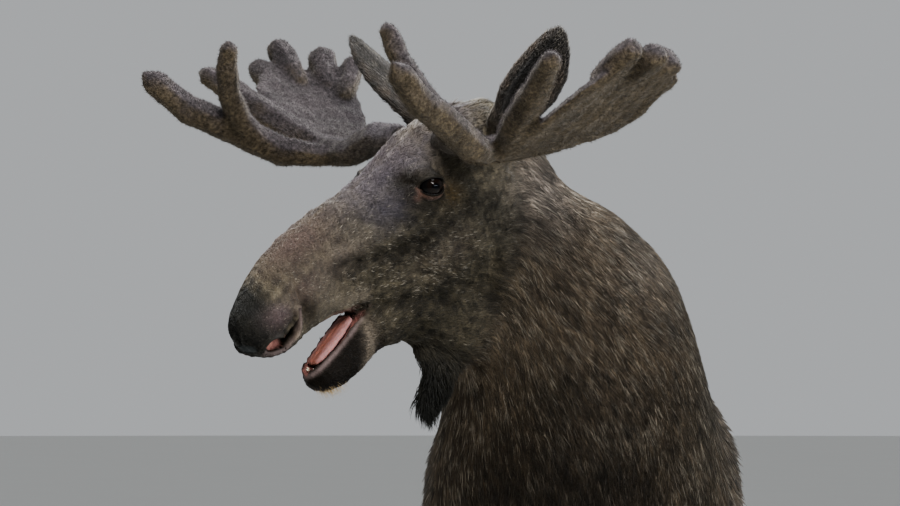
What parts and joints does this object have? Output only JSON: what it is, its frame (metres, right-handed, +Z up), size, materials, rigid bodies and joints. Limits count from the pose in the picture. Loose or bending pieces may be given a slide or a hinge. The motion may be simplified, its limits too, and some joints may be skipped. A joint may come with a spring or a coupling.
{
  "type": "moose",
  "caption": "Life-size still model of a bull moose in summer velvet, standing square with its head turned to its right and its mouth a little open.",
  "frame": {"origin": "on the floor, under the middle of the animal's box", "axes": "+Z up; the body faces -Y, so its left side is +X; the head is turned to its right, towards -X"},
  "size_m": [1.081, 2.526, 2.359],
  "materials": {
    "coat": "dark grey-brown hair, long on the neck and shoulder, short and grizzled on the face",
    "leg_coat": "short pale grey-brown hair",
    "velvet": "short dense velvet over growing antler, taupe above and warm brown below",
    "hoof": "dark horn with growth rings, satin",
    "eye": "wet, nearly black, with a dark brown iris",
    "mouth": "moist pink skin of tongue and lips",
    "tooth": "stained ivory"
  },
  "bodies": {
    "root": {"antler_left_beam": "velvet", "antler_left_brow_palm": "velvet", "antler_left_main_palm": "velvet", "antler_right_beam": "velvet", "antler_right_brow_palm": "velvet", "antler_right_main_palm": "velvet", "bell": "coat", "dewclaw_fore_left_inner": "hoof", "dewclaw_fore_left_outer": "hoof", "dewclaw_fore_right_inner": "hoof", "dewclaw_fore_right_outer": "hoof", "dewclaw_hind_left_inner": "hoof", "dewclaw_hind_left_outer": "hoof", "dewclaw_hind_right_inner": "hoof", "dewclaw_hind_right_outer": "hoof", "ear_left": "coat", "ear_right": "coat", "eye_left": "eye", "eye_right": "eye", "fore_leg_left": "leg_coat", "fore_leg_right": "leg_coat", "head": "coat", "hind_leg_left": "leg_coat", "hind_leg_right": "leg_coat", "hoof_fore_left_inner": "hoof", "hoof_fore_left_outer": "hoof", "hoof_fore_right_inner": "hoof", "hoof_fore_right_outer": "hoof", "hoof_hind_left_inner": "hoof", "hoof_hind_left_outer": "hoof", "hoof_hind_right_inner": "hoof", "hoof_hind_right_outer": "hoof", "lower_jaw": "coat", "lower_teeth": "tooth", "neck": "coat", "tail": "coat", "tongue": "mouth", "trunk": "coat"}
  },
  "joints": []
}
